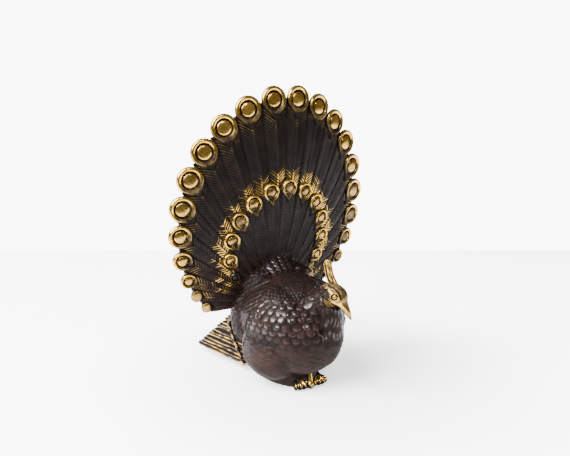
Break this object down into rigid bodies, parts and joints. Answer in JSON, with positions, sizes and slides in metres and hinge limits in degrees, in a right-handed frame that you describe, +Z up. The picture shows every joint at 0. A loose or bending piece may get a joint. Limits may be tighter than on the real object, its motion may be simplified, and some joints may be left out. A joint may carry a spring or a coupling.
{
  "type": "peacock figurine",
  "caption": "Small cast brass peacock standing with its round train of eyed feathers raised behind it, head turned and bowed, a short layered tail behind.",
  "frame": {"origin": "on the ground at the front of the flat sole, midway between the two feet", "axes": "+Z up; the bird faces -Y and its left side is towards +X; the train stands across X"},
  "size_m": [0.0988, 0.0876, 0.1268],
  "materials": {
    "patinated_brass": "dark brown patina, semi-gloss, rubbed back to polished brass on the head, feet, eyes of the train and tail ridges"
  },
  "bodies": {
    "root": {"peacock": "patinated_brass"}
  },
  "joints": []
}
